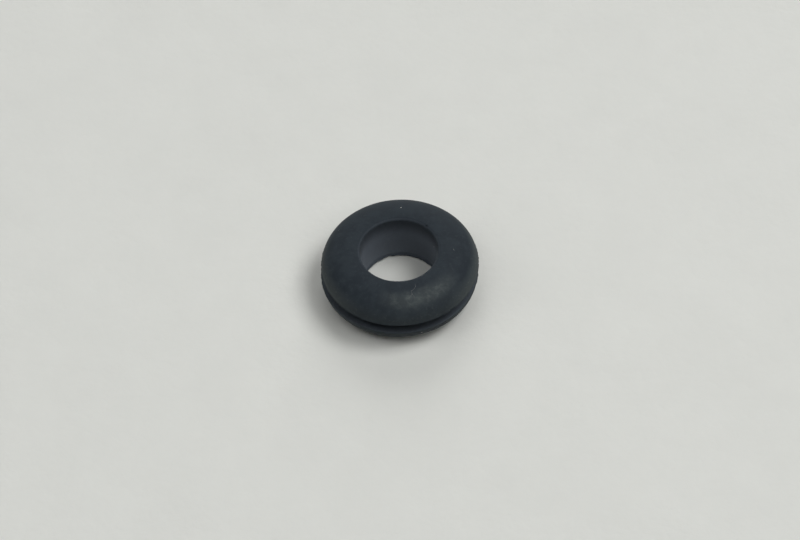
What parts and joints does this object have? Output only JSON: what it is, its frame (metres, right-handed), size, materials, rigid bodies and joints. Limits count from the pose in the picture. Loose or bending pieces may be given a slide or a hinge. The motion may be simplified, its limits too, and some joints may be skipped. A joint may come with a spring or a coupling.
{
  "type": "rubber grommet",
  "caption": "Round black rubber grommet: a short sleeve with a domed flange at each end and a panel groove between them.",
  "frame": {"origin": "centre of the bore, in the middle plane of the panel groove", "axes": "+Z along the bore, square to both faces; X and Y are any two directions across it"},
  "size_m": [0.0122, 0.0122, 0.0044],
  "materials": {
    "rubber": "matt black moulded rubber with a soft dull sheen and a fine grain"
  },
  "bodies": {
    "root": {"grommet": "rubber"}
  },
  "joints": []
}
